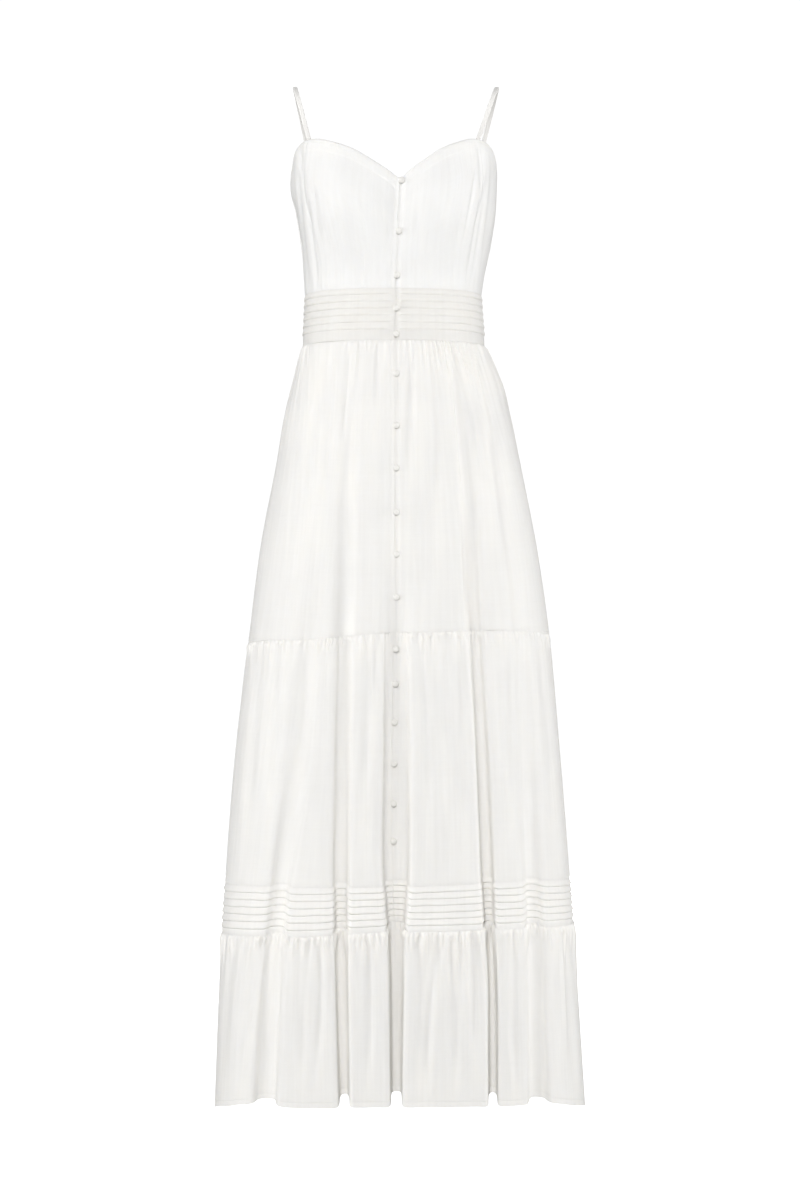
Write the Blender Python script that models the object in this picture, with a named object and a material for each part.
"""A sleeveless summer dress as it is worn: buttoned bodice with cups and straps,
pin-tucked waistband, two gathered skirt tiers, a pin-tucked band and a gathered
flounce. Every panel is a thin cloth wall, and the wearer's space is empty.

The frame has +Z up, the front faces -Y and +X is at the viewer's right. The origin
lies under the tops of the two straps, midway between them, where shoulders hold them.
Sizes are in millimetres and become metres when a mesh is made.
"""
import math

import bpy
import numpy as np
from mathutils import Vector
from mathutils.bvhtree import BVHTree

MM = 0.001

WALL = 1.4                # cloth with its turned edge, as one wall
SEAM_GAP = 0.3            # between panels at a seam
EVEN_STEP = 1.25          # evens out the spacing of points round the oval
EVEN_AT = 0.6             # the height in a tier at which its columns are evenly spaced
CENTRE_SHIFT = -3.2       # the body's middle, left of the strap middle

FRONT_LAP = 14.0          # how far the under front runs on beneath the upper one
LAP_DROP = WALL + 0.5     # how far in the under front lies there
LAP_EASE = 9.0            # the stretch in which it comes back out

BUST_RISE = 20.0
BUST_APART = 74.0
BUST_LEVEL = -170.0
BUST_SPREAD = 36.0
BUST_HEIGHT = 42.0

GATHER_TOP = 1.3          # half height of a gather just under its seam
GATHER_FOOT = 0.5
RUFFLE_FOOT = 1.2
GATHERS_FRONT = 15        # gathers on each front panel of a tier
GATHERS_BACK = 28
PLAIN_BY_EDGE = 0.09      # the front edges lie flat this far, as a share of the oval

TUCKS = 6
TUCK_RISE = 1.3
WAIST_TUCKS = (0.114, 0.786)   # the first and last tuck's fold, as shares of the band's height
BAND_TUCKS = (0.136, 0.864)

BUTTON_RADIUS = 4.3
BUTTON_RISE = 3.9
SHANK_RADIUS = 1.2
BUTTON_REACH = 2.6        # button middle, right of the upper front's edge
BUTTON_SIDES = 8

STRAP_WIDTH = 6.4
STRAP_DEPTH = 2.6
STRAP_SIDES = 6
STRAP_POINTS = 18
STRAP_INSET = 0.012       # strap middle, in from the princess seam, as a share of the oval

GIRTH_COLUMNS = ("z", "left", "right", "front", "back", "squareness")
GIRTH = [
    (-70, 136.0, 129.0, 96, 96, 3.0),
    (-94, 140.5, 136.0, 99, 101, 3.0),
    (-138, 145.0, 138.5, 103, 106, 2.7),
    (-174, 138.0, 137.0, 102, 105, 2.6),
    (-218, 131.0, 130.5, 98, 101, 2.4),
    (-262, 127.0, 121.0, 94, 95, 2.3),
    (-300, 125.0, 116.5, 92, 91, 2.3),
    (-345, 126.5, 118.5, 94, 92, 2.3),
    (-372, 134.0, 131.0, 99, 100, 2.3),
    (-400, 141.5, 144.0, 104, 108, 2.3),
    (-455, 155.0, 158.0, 112, 119, 2.3),
    (-511, 164.0, 170.0, 118, 127, 2.4),
    (-621, 185.0, 192.0, 128, 136, 2.4),
    (-759, 203.0, 212.0, 136, 144, 2.5),
    (-897, 219.0, 224.5, 143, 151, 2.7),
    (-1101, 235.5, 240.0, 152, 160, 2.9),
    (-1178, 240.0, 245.5, 154, 162, 3.0),
    (-1399, 248.5, 259.5, 160, 168, 3.0),
]

SEAM_COLUMNS = ("left", "front_left", "front", "front_right", "right", "back_right", "back", "back_left")
SEAMS = {
    "waist_top": (-285, -285, -285, -285, -285, -285, -285, -285),
    "waist_foot": (-355, -355, -355, -355, -355, -355, -355, -355),
    "upper_foot": (-763, -757, -747, -744, -751, -755, -757, -760),
    "middle_foot": (-1092, -1084, -1082, -1077, -1085, -1088, -1090, -1092),
    "band_foot": (-1160, -1150, -1141, -1139, -1145, -1149, -1153, -1157),
    "hem": (-1399, -1373, -1371, -1371, -1397, -1390, -1386, -1392),
}
FOLD_LIFT = 0.42          # how far a fold hitches up the hem, for each unit of its depth

EDGE_COLUMNS = ("z", "x")
FRONT_EDGE = [(-140, 5.4), (-200, 1.8), (-270, -0.9), (-500, -2.0), (-755, -2.0), (-880, -4.4),
              (-1085, -4.6), (-1160, -2.0), (-1371, 0.5)]

FOLD_COLUMNS = ("z", "lip_left", "floor_left", "floor_right", "lip_right", "depth")
OUTER_LEFT_FOLD = [
    (-355, -118, -74, -72, -60, 0),
    (-515, -122, -88, -86, -76, 1),
    (-755, -140, -110, -107, -97, 4),
    (-915, -160, -124, -121, -111, 7),
    (-1085, -178, -149, -146, -138, 11),
    (-1240, -196, -159, -156, -150, 14),
    (-1371, -205, -165, -162, -156, 16),
]
LEFT_FOLD = [
    (-355, -57, -54, -52, -46, 0),
    (-515, -74, -68, -62, -53, 3),
    (-755, -81, -75, -64, -55, 11),
    (-915, -83, -77, -65, -57, 14),
    (-1085, -84, -79, -67, -60, 18),
    (-1240, -80, -76, -66, -61, 25),
    (-1371, -76, -72.5, -63.5, -60, 30),
]
PLACKET_FOLD = [
    (-355, -14, -8, 12, 18, 0),
    (-640, -15, -9, 13, 19, 1),
    (-755, -18, -11, 13, 20, 9),
    (-915, -20, -12, 14, 21, 18),
    (-1085, -19, -12, 13, 19, 25),
    (-1160, -12, -8, 9, 13, 29),
    (-1240, -9.5, -6, 8, 11, 33),
    (-1371, -8, -4.5, 6, 9, 36),
]
RIGHT_FOLD = [
    (-355, 62, 65, 68, 78, 0),
    (-415, 72, 76, 81, 96, 4),
    (-515, 81, 85, 93, 108, 7),
    (-755, 96, 100, 108, 117, 14),
    (-915, 105, 109, 118, 126, 19),
    (-1085, 112, 115, 126, 132, 24),
    (-1240, 120, 123, 131, 135.5, 28),
    (-1371, 121.5, 124.5, 132, 135.5, 32),
]
OUTER_RIGHT_FOLD = [
    (-355, 96, 99, 101, 110, 0),
    (-515, 131, 136, 138, 154, 4),
    (-755, 158, 164, 167, 186, 7),
    (-915, 161, 168, 170, 196, 9),
    (-1085, 168, 174, 177, 204, 12),
    (-1240, 171, 178, 180, 210, 14),
    (-1371, 174, 180, 182, 216, 16),
]
FRONT_FOLDS = (OUTER_LEFT_FOLD, LEFT_FOLD, PLACKET_FOLD, RIGHT_FOLD, OUTER_RIGHT_FOLD)

BACK_FOLD_COLUMNS = ("place", "mouth", "floor", "depth")
BACK_FOLDS = [
    (1.21, 0.095, 0.020, 34),
    (1.50, 0.120, 0.030, 50),
    (1.83, 0.112, 0.024, 60),
    (2.16, 0.126, 0.030, 53),
    (2.48, 0.108, 0.022, 58),
    (2.79, 0.092, 0.020, 36),
]
BACK_FOLD_GROWTH = 1.4

PRINCESS_COLUMNS = ("z", "out")
PRINCESS = [(-70, 114), (-115, 121), (-142, 122.5), (-170, 119), (-200, 111), (-224, 104), (-300, 98)]
NECKLINE_COLUMNS = ("out", "z")
NECKLINE = [(0, -141), (14, -129), (34, -115), (58, -99.5), (81, -89.5), (102, -83), (119, -82)]
ARMHOLE_COLUMNS = ("share", "z")
ARMHOLE = [(0, -82), (0.3, -87), (0.5, -95), (0.75, -114), (1, -134)]
BACK_EDGE_SIDE = -134
BACK_EDGE_MIDDLE = -131

STRAP_COLUMNS = ("y", "z")
STRAP_APEX = (0, 1.3)
STRAP_PATH = [(-62, -62), (-46, -20), (-20, -2.5), STRAP_APEX, (25, -3), (60, -25), (84, -70)]
STRAP_APEX_OUT = 139.0
STRAP_BACK_OUT = 108.0

BUTTON_LEVELS = (-143, -210, -268, -312, -347, -401, -471, -528, -587, -643, -700,
                 -769, -815, -866, -921, -974, -1024)

PIECE_COLOURS = {
    "bodice": (0.90, 0.89, 0.87),
    "waistband": (0.88, 0.87, 0.84),
    "upper": (0.89, 0.88, 0.86),
    "middle": (0.84, 0.84, 0.81),
    "tuck": (0.84, 0.84, 0.81),
    "flounce": (0.82, 0.82, 0.80),
    "strap": (0.87, 0.87, 0.85),
    "button": (0.80, 0.80, 0.77),
}
COTTON_ROUGHNESS = 0.9


def read(table, columns, column, along, at):
    """Reads one named column of a table on a smooth curve through its rows."""
    rows = np.array(table, dtype=float)
    rows = rows[np.argsort(rows[:, columns.index(along)])]
    x = rows[:, columns.index(along)]
    y = rows[:, columns.index(column)]
    slope = np.gradient(y, x)
    at = np.clip(at, x[0], x[-1])
    i = np.clip(np.searchsorted(x, at) - 1, 0, len(x) - 2)
    step = x[i + 1] - x[i]
    q = (at - x[i]) / step
    rise = q * q * (3 - 2 * q)
    start = q * (1 - q) ** 2 * step * slope[i]
    end = q * q * (q - 1) * step * slope[i + 1]
    return y[i] * (1 - rise) + y[i + 1] * rise + start + end


def ease(q):
    """Goes from 0 to 1 with level ends."""
    q = np.clip(q, 0, 1)
    return q * q * (3 - 2 * q)


def girth(column, z):
    return read(GIRTH, GIRTH_COLUMNS, column, "z", z)


def outline(s, z):
    """The oval at height z. s is 0 in front, 1 at the right side, 2 behind, -1 and 3 left."""
    turn = s * math.pi / 2
    angle = np.arctan2(EVEN_STEP * np.sin(turn), np.cos(turn))
    across = np.where(np.sin(angle) >= 0, girth("right", z), girth("left", z))
    deep = np.where(np.cos(angle) >= 0, girth("front", z), girth("back", z))
    power = girth("squareness", z)
    sideways = (np.abs(np.sin(angle)) / across) ** power
    forward = (np.abs(np.cos(angle)) / deep) ** power
    reach = (sideways + forward) ** (-1 / power)
    return reach * np.sin(angle), -reach * np.cos(angle)


def share_at(x, z):
    """The s of the front point that lies at x."""
    across = np.where(x >= 0, girth("right", z), girth("left", z))
    power = girth("squareness", z)
    level = np.clip(1 - np.abs(x / across) ** power, 0, 1)
    y = girth("front", z) * level ** (1 / power)
    return np.arctan2(x / EVEN_STEP, y) * 2 / math.pi


def edge_share(z):
    return share_at(read(FRONT_EDGE, EDGE_COLUMNS, "x", "z", z), z)


def seam(name, s):
    """The height of a seam, eased from each of its eight places round the body to the next."""
    heights = np.array(SEAMS[name] + SEAMS[name][:1], dtype=float)
    step = (np.clip(s, -1, 3) + 1) * len(SEAM_COLUMNS) / 4
    i = np.clip(np.floor(step).astype(int), 0, len(SEAM_COLUMNS) - 1)
    return heights[i] + (heights[i + 1] - heights[i]) * ease(step - i)


def front_level(name):
    return SEAMS[name][SEAM_COLUMNS.index("front")]


def fold_depth(table, level):
    return np.clip(read(table, FOLD_COLUMNS, "depth", "z", level), 0, None)


def knots(level):
    """The folds' lips and floors in order: place, depth and the way each fold goes in."""
    level = np.asarray(level, dtype=float)
    places = [np.full(level.shape, -1.0)]
    depths = [np.zeros(level.shape)]
    aims = [0.0]
    for table in FRONT_FOLDS:
        depth = fold_depth(table, level)
        for column in FOLD_COLUMNS[1:5]:
            places.append(share_at(read(table, FOLD_COLUMNS, column, "z", level), level))
            depths.append(depth if column.startswith("floor") else np.zeros(level.shape))
            aims.append(0.0)
            if table is PLACKET_FOLD and column == "floor_left":
                places.append(edge_share(level))
                depths.append(depth)
                aims.append(0.0)
    start, end = front_level("waist_foot"), front_level("hem")
    growth = np.clip((start - level) / (start - end), 0, 1)
    places.append(np.full(level.shape, 1.0))
    depths.append(np.zeros(level.shape))
    aims.append(0.0)
    for row in BACK_FOLDS:
        fold = dict(zip(BACK_FOLD_COLUMNS, row))
        depth = fold["depth"] * growth ** BACK_FOLD_GROWTH
        for offset in (-fold["mouth"], -fold["floor"], fold["floor"], fold["mouth"]):
            places.append(np.full(level.shape, fold["place"] + offset))
            depths.append(depth if abs(offset) == fold["floor"] else np.zeros(level.shape))
            aims.append(fold["place"] * math.pi / 2)
    places.append(np.full(level.shape, 3.0))
    depths.append(np.zeros(level.shape))
    aims.append(0.0)
    return places, depths, aims


REFERENCE_LEVEL = -915.0
CLOTH_KNOTS = [float(place) for place in knots(REFERENCE_LEVEL)[0]]
EDGE_KNOT = CLOTH_KNOTS[11]


def fold_cloth(u, level):
    """Where the cloth at u lies on the oval, and how far and which way it is folded in.

    u is a place on the cloth that stays the same at every height. From a lip to a
    floor the wall turns in with a round start and end; elsewhere it follows the oval.
    """
    places, depths, aims = knots(level)
    s = np.zeros(u.shape)
    depth = np.zeros(u.shape)
    aim = np.zeros(u.shape)
    for k in range(len(CLOTH_KNOTS) - 1):
        low, high = CLOTH_KNOTS[k], CLOTH_KNOTS[k + 1]
        here = (u >= low) if k == len(CLOTH_KNOTS) - 2 else (u >= low) & (u < high)
        if k == 0:
            here = u < high
        q = (u - low) / (high - low)
        deepest = np.maximum(depths[k], depths[k + 1])
        turned = ease(deepest / 12.0) * (np.abs(depths[k] - depths[k + 1]) > 0)
        along = q + turned * np.sin(2 * math.pi * q) / (2 * math.pi)
        s = np.where(here, places[k] + (places[k + 1] - places[k]) * along, s)
        depth = np.where(here, depths[k] + (depths[k + 1] - depths[k]) * ease(q), depth)
        aim = np.where(here, aims[k] if depths[k].max() > 0 else aims[k + 1], aim)
    return s, depth, aim


def skirt_points(top, foot, u, v):
    """Points of a skirt panel: v goes from 0 at its top seam to 1 at its foot."""
    level = front_level(top) + v * (front_level(foot) - front_level(top))
    level = np.broadcast_to(level, u.shape)
    s, depth, aim = fold_cloth(u, level)
    z = seam(top, s) + v * (seam(foot, s) - seam(top, s))
    x, y = outline(s, z)
    if foot == "hem":
        z = z + FOLD_LIFT * depth * v
    return np.stack([x - depth * np.sin(aim), y + depth * np.cos(aim), z], axis=-1)


def skirt_normals(top, foot, u, v):
    """Level normals of a skirt panel, pointing out of the dress."""
    nudge = 5e-4
    ahead = skirt_points(top, foot, u + nudge, v) - skirt_points(top, foot, u - nudge, v)
    return level_normals(ahead)


def level_normals(ahead):
    out = np.stack([ahead[..., 1], -ahead[..., 0], np.zeros(ahead.shape[:-1])], axis=-1)
    return out / np.linalg.norm(out, axis=-1, keepdims=True)


def arc_lengths(top, foot, u, v):
    points = skirt_points(top, foot, u, np.full(u.shape, v))
    steps = np.linalg.norm(np.diff(points, axis=0), axis=1)
    return np.concatenate([[0], np.cumsum(steps)])


def even_columns(top, foot, start, end, count):
    """Places on the cloth, evenly spaced round the panel at its middle height."""
    u = np.linspace(start, end, 3000)
    length = arc_lengths(top, foot, u, EVEN_AT)
    return np.interp(np.linspace(SEAM_GAP, length[-1] - SEAM_GAP, count + 1), length, u)


def lap_start(top, foot, v):
    """Where the under front ends, a set distance behind the upper front's edge."""
    u = np.linspace(EDGE_KNOT, CLOTH_KNOTS[9], 400)
    return np.array([np.interp(FRONT_LAP, arc_lengths(top, foot, u, height), u) for height in v])


def lay_on(points, normals, out):
    return points + normals * np.asarray(out)[..., None]


def away_from_edge(points):
    """How far each point lies to the right of the upper front's edge."""
    return points[..., 0] - read(FRONT_EDGE, EDGE_COLUMNS, "x", "z", points[..., 2])


def grid_faces(rows, columns, first, flipped):
    """Quads of a grid of points that are numbered row by row from first."""
    corner = first + np.arange(rows - 1)[:, None] * columns + np.arange(columns - 1)[None, :]
    quads = np.stack([corner, corner + 1, corner + columns + 1, corner + columns], axis=-1).reshape(-1, 4)
    return quads[:, ::-1] if flipped else quads


def wall(name, outer, inner):
    """Closes two grids, the outer and the inner face of a panel, into one thin wall.

    Both have the same columns. The inner grid may have only a top and a foot row.
    """
    rows, columns = outer.shape[:2]
    inner_rows = inner.shape[0]
    first = rows * columns
    faces = [list(face) for face in grid_faces(rows, columns, 0, False)]
    faces += [list(face) for face in grid_faces(inner_rows, columns, first, True)]
    last_outer = (rows - 1) * columns
    last_inner = first + (inner_rows - 1) * columns
    for k in range(columns - 1):
        faces.append([k, first + k, first + k + 1, k + 1])
        faces.append([last_outer + k, last_outer + k + 1, last_inner + k + 1, last_inner + k])
    for column, flipped in ((0, False), (columns - 1, True)):
        for face in end_faces(rows, inner_rows, columns, first, column):
            faces.append(face[::-1] if flipped else face)
    vertices = np.concatenate([outer.reshape(-1, 3), inner.reshape(-1, 3)]) * MM
    return solid(name, vertices, faces)


def end_faces(rows, inner_rows, columns, first, column):
    """The narrow faces down one side of a wall."""
    outer = [row * columns + column for row in range(rows)]
    inner = [first + row * columns + column for row in range(inner_rows)]
    if rows == inner_rows:
        return [[outer[row], outer[row + 1], inner[row + 1], inner[row]] for row in range(rows - 1)]
    middle = rows // 2
    faces = [[outer[row], outer[row + 1], inner[0]] for row in range(middle)]
    faces.append([outer[middle], inner[-1], inner[0]])
    faces += [[outer[row], outer[row + 1], inner[-1]] for row in range(middle, rows - 1)]
    return faces


def solid(name, vertices, faces):
    """Makes the named object, with its faces turned outwards and its own material."""
    mesh = bpy.data.meshes.new(name)
    mesh.from_pydata([tuple(vertex) for vertex in vertices], [], [tuple(face) for face in faces])
    if signed_volume(mesh) < 0:
        mesh.flip_normals()
    mesh.validate()
    mesh.shade_smooth()
    mesh.set_sharp_from_angle(angle=math.radians(40))
    piece = bpy.data.objects.new(name, mesh)
    bpy.context.collection.objects.link(piece)
    mesh.materials.append(cloth_material(name))
    return piece


def signed_volume(mesh):
    mesh.calc_loop_triangles()
    corners = np.zeros(len(mesh.vertices) * 3)
    mesh.vertices.foreach_get("co", corners)
    index = np.zeros(len(mesh.loop_triangles) * 3, dtype=int)
    mesh.loop_triangles.foreach_get("vertices", index)
    a, b, c = corners.reshape(-1, 3)[index].reshape(-1, 3, 3).transpose(1, 0, 2)
    return float(np.einsum("ij,ij->i", a, np.cross(b, c)).sum()) / 6


def cloth_material(name):
    kind = name.split("_")[0]
    material = bpy.data.materials.new(name + "_cotton")
    material.use_nodes = True
    shader = material.node_tree.nodes["Principled BSDF"]
    shader.inputs["Base Color"].default_value = (*PIECE_COLOURS[kind], 1)
    shader.inputs["Roughness"].default_value = COTTON_ROUGHNESS
    shader.inputs["Metallic"].default_value = 0
    return material


def gathers(count, columns):
    """Up and down across a panel, flat at both of its sides."""
    wave = np.sin(2 * math.pi * count * np.arange(columns + 1) / columns + math.pi / 2)
    wave[0] = 0
    wave[-1] = 0
    return wave


def tier(name, top, foot, heights, per_gather, foot_wave):
    """Builds one gathered tier from two front panels and a back panel."""
    v = np.array(heights)
    size = GATHER_TOP + (foot_wave - GATHER_TOP) * v[:, None]
    for side in ("front_left", "front_right", "back"):
        count = GATHERS_BACK if side == "back" else GATHERS_FRONT
        u = side_columns(side, top, foot, v, count * per_gather)
        wave = size * gathers(count, u.shape[1] - 1)
        make_skirt_panel(f"{name}_{side}", top, foot, u, v, wave, side == "front_right")


def side_columns(side, top, foot, v, count):
    """Places on the cloth for each height v. Where the fronts lap, both have the same ones."""
    beneath = lap_start(top, foot, v)[:, None]
    lap = np.concatenate([beneath, (beneath + EDGE_KNOT) / 2, np.full(beneath.shape, EDGE_KNOT)], axis=1)
    if side == "back":
        return np.tile(even_columns(top, foot, 1, 3, count), (len(v), 1))
    if side == "front_right":
        beyond = even_columns(top, foot, EDGE_KNOT, 1, count)[1:]
        return np.concatenate([lap, np.tile(beyond, (len(v), 1))], axis=1)
    usual = float(lap_start(top, foot, np.array([EVEN_AT]))[0])
    before = even_columns(top, foot, -1, usual, count - 2)[:-1]
    before = before[0] + (before[None, :] - before[0]) * (beneath - before[0]) / (usual - before[0])
    return np.concatenate([before, lap], axis=1)


def make_skirt_panel(name, top, foot, u, v, wave, is_under):
    """One wall of a tier, trimmed by half a seam gap at its top and foot."""
    rows = np.broadcast_to(v[:, None], u.shape)
    points = skirt_points(top, foot, u, rows)
    normals = skirt_normals(top, foot, u, rows)
    points[0, :, 2] -= SEAM_GAP / 2
    points[-1, :, 2] += SEAM_GAP / 2
    out = wave * ease(np.abs(u - EDGE_KNOT) / PLAIN_BY_EDGE)
    if is_under:
        out = out - lap_drop(points, u)
    wall(name, lay_on(points, normals, out), lay_on(points, normals, out - WALL))


def lap_drop(points, u):
    """How far in the under front lies: full behind the edge, none a little to its right."""
    beyond = np.where(u > EDGE_KNOT + 1e-9, away_from_edge(points), 0)
    return LAP_DROP * (1 - ease(beyond / LAP_EASE))


def tuck_rows(first, last):
    """Heights and rises of the pin tucks: each hangs over and steps back under its fold."""
    heights = [0.0]
    rises = [0.0]
    pitch = (last - first) / (TUCKS - 1)
    for fold in np.linspace(first, last, TUCKS):
        heights += [fold - 0.8 * pitch, fold]
        rises += [0.15, TUCK_RISE]
    heights.append(1.0)
    rises.append(0.0)
    return np.array(heights), np.array(rises)


def tuck_band():
    """The band of pin tucks between the middle tier and the flounce."""
    v, rise = tuck_rows(*BAND_TUCKS)
    top, foot = "middle_foot", "band_foot"
    for side, count in (("front_left", 21), ("front_right", 21), ("back", 32)):
        u = side_columns(side, top, foot, np.array([0.0, 1.0]), count)
        make_tucked_panel(f"tuck_band_{side}", skirt_points, skirt_normals, top, foot, u, v, rise,
                          side == "front_right")


def waist_points(top, foot, u, v):
    """Points of the waistband: u is s, measured from the front edge on the fronts."""
    z = seam(top, u) + v * (seam(foot, u) - seam(top, u))
    s = np.where(u < 1, u + edge_share(z) * (1 - np.abs(np.clip(u, -1, 1))), u)
    x, y = outline(s, z)
    return np.stack([x, y, z], axis=-1)


def waist_normals(top, foot, u, v):
    nudge = 1e-3
    return level_normals(waist_points(top, foot, u + nudge, v) - waist_points(top, foot, u - nudge, v))


def waistband():
    """The pin-tucked band round the waist."""
    v, rise = tuck_rows(*WAIST_TUCKS)
    top, foot = "waist_top", "waist_foot"
    trim = 0.0012
    lap = 0.095
    left = np.concatenate([np.linspace(-1 + trim, -0.1, 12), [-0.05, -0.024, 0]])
    right = np.concatenate([[-lap, -lap / 2, 0, 0.012, 0.024, 0.05], np.linspace(0.1, 1 - trim, 12)])
    back = np.linspace(1 + trim, 3 - trim, 27)
    for side, u in (("front_left", left), ("front_right", right), ("back", back)):
        both = np.tile(u, (2, 1))
        make_tucked_panel(f"waistband_{side}", waist_points, waist_normals, top, foot, both, v, rise,
                          side == "front_right")


def make_tucked_panel(name, place, normals_of, top, foot, u, v, rise, is_under):
    """A wall with pin tucks raised on its outer face and a plain inside."""
    ends = np.array([0.0, 1.0])
    rows = np.broadcast_to(ends[:, None], u.shape)
    points = place(top, foot, u, rows)
    normals = normals_of(top, foot, u, rows)
    points[0, :, 2] -= SEAM_GAP / 2
    points[1, :, 2] += SEAM_GAP / 2
    drop = np.zeros(u.shape)
    fade = np.ones(u.shape[1])
    if is_under:
        edge = EDGE_KNOT if place is skirt_points else 0.0
        beyond = np.where(u > edge + 1e-9, away_from_edge(points), 0)
        drop = LAP_DROP * (1 - ease(beyond / LAP_EASE))
        fade = 1 - drop.max(axis=0) / LAP_DROP
    elif place is waist_points:
        fade = ease(-away_from_edge(points)[0] / (BUTTON_RADIUS + 1)) * (u[0] < 0) + (u[0] > 1)
    surface = lay_on(points, normals, -drop)
    inner = lay_on(points, normals, -drop - WALL)
    between = v[:, None, None]
    outer = surface[0] * (1 - between) + surface[1] * between
    way = normals[0] * (1 - between) + normals[1] * between
    outer = outer + way * (rise[:, None] * fade[None, :])[..., None]
    wall(name, outer, inner)


def bodice_point(s, z):
    """The bodice round a general figure: the oval with a soft rise over each cup."""
    x, y = outline(s, z)
    off_middle = np.abs(x - CENTRE_SHIFT)
    across = np.exp(-((off_middle - BUST_APART) / BUST_SPREAD) ** 2 / 2)
    upright = np.exp(-((z - BUST_LEVEL) / BUST_HEIGHT) ** 2 / 2)
    y = np.where(y < 0, y - BUST_RISE * across * upright * ease(-y / 40), y)
    return np.stack([x, y, z], axis=-1)


def princess_share(side, z):
    out = read(PRINCESS, PRINCESS_COLUMNS, "out", "z", z)
    return share_at(CENTRE_SHIFT + side * out, z)


def bodice_wall(name, s, z, is_under=False):
    """A bodice panel from its grid of places, trimmed at its foot for the seam."""
    nudge = 1e-3
    points = bodice_point(s, z)
    normals = level_normals(bodice_point(s + nudge, z) - bodice_point(s - nudge, z))
    points[-1, :, 2] += SEAM_GAP / 2
    drop = np.zeros(s.shape)
    if is_under:
        drop = LAP_DROP * (1 - ease(away_from_edge(points) / LAP_EASE))
    wall(name, lay_on(points, normals, -drop), lay_on(points, normals, -drop - WALL))


def bodice():
    """Two cup panels, two side panels and the back."""
    level = np.array(float(front_level("waist_top")))
    v = np.linspace(0, 1, 10)[:, None]
    seam_trim = 0.0009
    for side, name in ((-1, "left"), (1, "right")):
        c = np.linspace(0, 1, 12)
        if side > 0:
            c = np.concatenate([[-0.13, -0.065, 0, 0.025, 0.05], np.linspace(0.1, 1, 9)])
        top = read(NECKLINE, NECKLINE_COLUMNS, "z", "out", np.clip(c, 0, 1) * NECKLINE[-1][0])
        foot = seam("waist_top", edge_share(level) + (princess_share(side, level) - edge_share(level)) * c)
        z = top + (foot - top) * v
        start = edge_share(z)
        end = princess_share(side, z) - side * seam_trim
        bodice_wall(f"bodice_front_{name}", start + (end - start) * c, z, side > 0)
        c = np.linspace(0, 1, 6)
        top = read(ARMHOLE, ARMHOLE_COLUMNS, "z", "share", c)
        foot = seam("waist_top", princess_share(side, level) + (side - princess_share(side, level)) * c)
        z = top + (foot - top) * v
        start = princess_share(side, z) + side * seam_trim
        end = side * (1 - seam_trim)
        s = start + (end - start) * c
        bodice_wall(f"bodice_side_{name}", s, z)
    s = np.linspace(1 + seam_trim, 3 - seam_trim, 25)
    v = np.linspace(0, 1, 7)[:, None]
    z = back_edge(s) + (seam("waist_top", s) - back_edge(s)) * v
    bodice_wall("bodice_back", np.broadcast_to(s, z.shape), z)


def strap_route(side):
    """The strap's middle line, from the cup over the shoulder to the back edge."""
    cup_top = np.array(float(NECKLINE[-1][1]))
    front = bodice_point(princess_share(side, cup_top) - side * STRAP_INSET, cup_top)
    start = np.array([front[0], front[1] + WALL / 2, front[2] + SEAM_GAP])
    s = np.linspace(1.02, 1.98, 400) if side > 0 else np.linspace(2.02, 2.98, 400)
    x, y = outline(s, np.full(s.shape, float(BACK_EDGE_MIDDLE)))
    near = int(np.argmin(np.abs(x - CENTRE_SHIFT - side * STRAP_BACK_OUT)))
    end = np.array([x[near], y[near] - WALL / 2, float(back_edge(s[near])) + SEAM_GAP])
    way = np.array([start[1:]] + [np.array(place) for place in STRAP_PATH] + [end[1:]])
    apex = STRAP_PATH.index(STRAP_APEX) + 1
    heights = way[:, STRAP_COLUMNS.index("z")]
    front_climb = (heights - start[2]) / (STRAP_APEX[1] - start[2])
    back_climb = (heights - end[2]) / (STRAP_APEX[1] - end[2])
    top_out = side * STRAP_APEX_OUT
    out = np.where(np.arange(len(way)) <= apex, start[0] + (top_out - start[0]) * front_climb,
                   end[0] + (top_out - end[0]) * back_climb)
    columns = ("step", "x", "y", "z")
    table = np.column_stack([np.arange(len(way)), out, way])
    fine = np.linspace(0, len(way) - 1, STRAP_POINTS)
    return np.stack([read(table, columns, column, "step", fine) for column in columns[1:]], axis=-1)


def back_edge(s):
    return BACK_EDGE_SIDE + (BACK_EDGE_MIDDLE - BACK_EDGE_SIDE) * np.sin((s - 1) * math.pi / 2) ** 2


def strap(name, side):
    """A flat tube along the route. Both ends are cut level, to meet the panels' edges."""
    route = strap_route(side)
    ahead = np.gradient(route, axis=0)
    ahead /= np.linalg.norm(ahead, axis=1, keepdims=True)
    ahead[0] = (0, 0, 1)
    ahead[-1] = (0, 0, -1)
    across = np.cross(ahead, np.cross(np.array([1.0, 0, 0]), ahead))
    across /= np.linalg.norm(across, axis=1, keepdims=True)
    through = np.cross(across, ahead)
    angle = np.arange(STRAP_SIDES) * 2 * math.pi / STRAP_SIDES
    ring = np.stack([np.cos(angle) * STRAP_WIDTH, np.sin(angle) * STRAP_DEPTH], axis=-1) / 2
    points = route[:, None, :] + across[:, None, :] * ring[None, :, :1]
    points = points + through[:, None, :] * ring[None, :, 1:]
    count = len(ring)
    faces = []
    for i in range(len(route) - 1):
        for k in range(count):
            n = (k + 1) % count
            faces.append([i * count + k, i * count + n, (i + 1) * count + n, (i + 1) * count + k])
    faces.append(list(range(count))[::-1])
    faces.append([(len(route) - 1) * count + k for k in range(count)])
    solid(name, points.reshape(-1, 3) * MM, faces)


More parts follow.
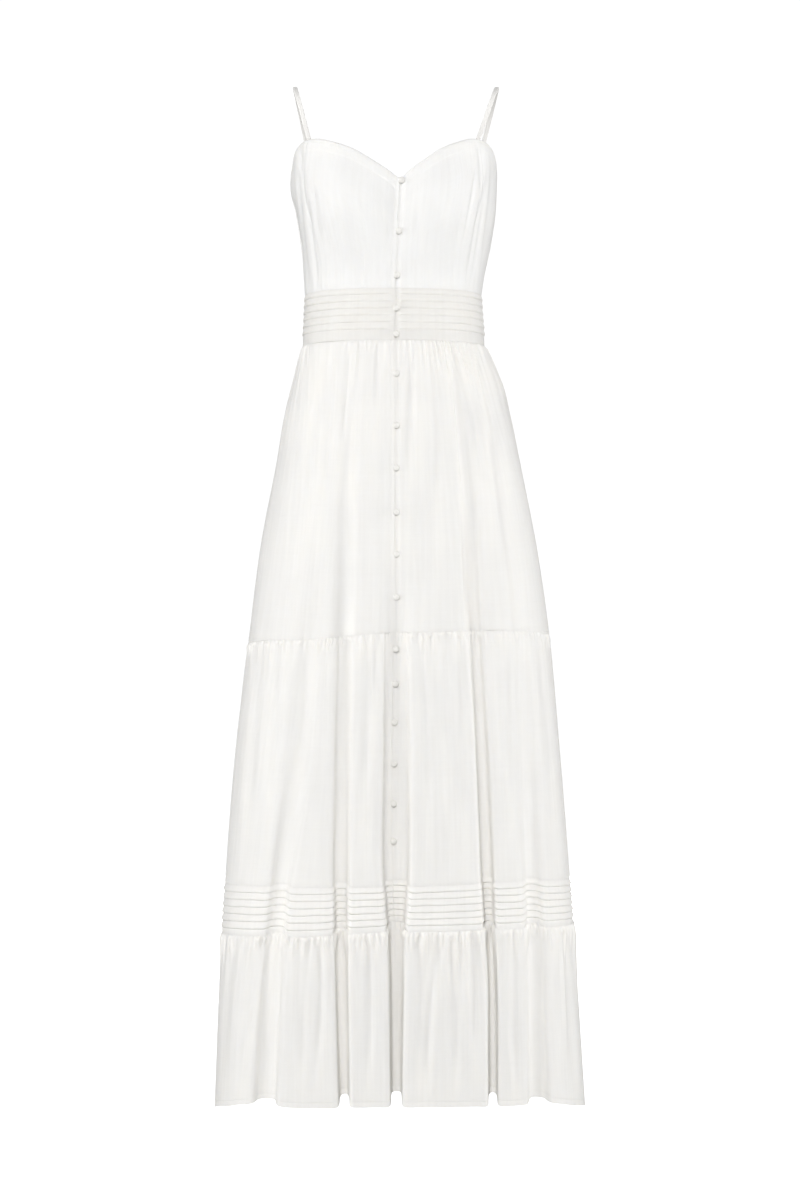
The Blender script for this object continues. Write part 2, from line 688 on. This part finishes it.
def button_mesh():
    """A covered dome on a short shank, turned about the line that faces forward."""
    profile = [(SHANK_RADIUS, 0), (SHANK_RADIUS, LAP_DROP), (BUTTON_RADIUS, LAP_DROP + 0.9),
               (BUTTON_RADIUS * 0.72, LAP_DROP + 0.78 * BUTTON_RISE)]
    angle = np.arange(BUTTON_SIDES) * 2 * math.pi / BUTTON_SIDES
    rings = []
    for radius, out in profile:
        forward = np.full(BUTTON_SIDES, -out)
        rings.append(np.column_stack([radius * np.cos(angle), forward, radius * np.sin(angle)]))
    vertices = np.concatenate(rings + [np.array([[0, -LAP_DROP - BUTTON_RISE, 0]])]) * MM
    faces = [list(range(BUTTON_SIDES))]
    for i in range(len(profile) - 1):
        for k in range(BUTTON_SIDES):
            n = (k + 1) % BUTTON_SIDES
            faces.append([i * BUTTON_SIDES + k, (i + 1) * BUTTON_SIDES + k,
                          (i + 1) * BUTTON_SIDES + n, i * BUTTON_SIDES + n])
    last = (len(profile) - 1) * BUTTON_SIDES
    for k in range(BUTTON_SIDES):
        faces.append([last + k, len(vertices) - 1, last + (k + 1) % BUTTON_SIDES])
    return vertices, faces


def under_front_faces():
    """A search tree of the under front's walls, which the buttons are sewn to."""
    vertices = []
    faces = []
    for panel in ("bodice", "waistband", "upper_tier", "middle_tier"):
        mesh = bpy.data.objects[f"{panel}_front_right"].data
        faces += [[len(vertices) + corner for corner in face.vertices] for face in mesh.polygons]
        vertices += [vertex.co.copy() for vertex in mesh.vertices]
    return BVHTree.FromPolygons(vertices, faces)


def seat_of(tree, x, z):
    """The y, in millimetres, of the foremost point of cloth under a button's shank."""
    found = []
    for across in (-SHANK_RADIUS, SHANK_RADIUS):
        for up in (-SHANK_RADIUS, SHANK_RADIUS):
            start = Vector(((x + across) * MM, -1, (z + up) * MM))
            hit = tree.ray_cast(start, Vector((0, 1, 0)))[0]
            if hit is not None:
                found.append(hit.y / MM)
    return min(found)


def buttons():
    """The front's buttons, each sewn to the under front just past the upper front's edge."""
    vertices, faces = button_mesh()
    tree = under_front_faces()
    first = None
    for number, level in enumerate(BUTTON_LEVELS, start=1):
        name = f"button_{number:02d}"
        x = float(read(FRONT_EDGE, EDGE_COLUMNS, "x", "z", level)) + BUTTON_REACH
        if first is None:
            first = solid(name, vertices, faces)
            piece = first
        else:
            piece = bpy.data.objects.new(name, first.data)
            bpy.context.collection.objects.link(piece)
        piece.location = (x * MM, (seat_of(tree, x, level) - SEAM_GAP) * MM, level * MM)


def clear_scene():
    for piece in list(bpy.data.objects):
        bpy.data.objects.remove(piece, do_unlink=True)


def build():
    clear_scene()
    bodice()
    waistband()
    tier("upper_tier", "waist_foot", "upper_foot", (0, 0.08, 0.3, 0.64, 1), 2, GATHER_FOOT)
    tier("middle_tier", "upper_foot", "middle_foot", (0, 0.1, 0.35, 0.68, 1), 2, GATHER_FOOT)
    tuck_band()
    tier("flounce", "band_foot", "hem", (0, 0.12, 0.4, 0.7, 1), 3, RUFFLE_FOOT)
    for name, side in (("left", -1), ("right", 1)):
        strap(f"strap_{name}", side)
    buttons()


build()
